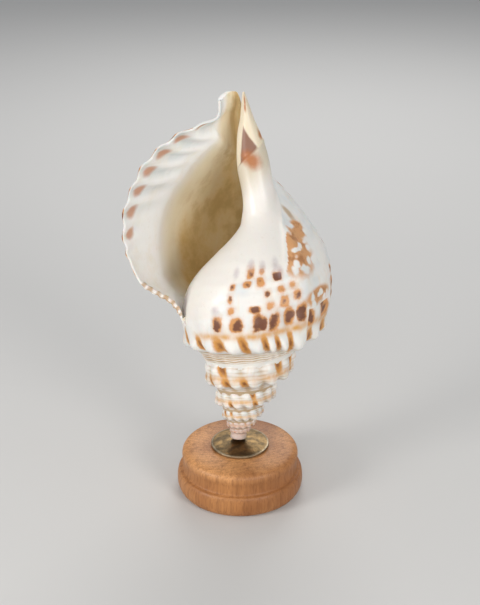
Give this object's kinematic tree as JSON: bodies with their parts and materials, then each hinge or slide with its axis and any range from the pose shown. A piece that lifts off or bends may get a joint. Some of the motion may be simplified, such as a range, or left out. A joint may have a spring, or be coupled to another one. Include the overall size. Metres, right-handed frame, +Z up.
{
  "type": "mounted seashell",
  "caption": "Knobbed triton seashell standing on its pointed end on a small domed metal disc and a turned wooden base, as a display piece.",
  "frame": {"origin": "middle of the wooden base's underside", "axes": "+Z up, the shell's aperture faces -Y, and the outer lip is on the -X side"},
  "size_m": [0.1215, 0.1159, 0.2387],
  "materials": {
    "shell": "glossy inside and on the lip, satin outside, with brown and orange spots",
    "disc_metal": "dark tarnished, worn bright at the rim",
    "base_wood": "satin"
  },
  "bodies": {
    "root": {"shell": "shell", "metal_disc": "disc_metal", "wood_base": "base_wood"}
  },
  "joints": []
}
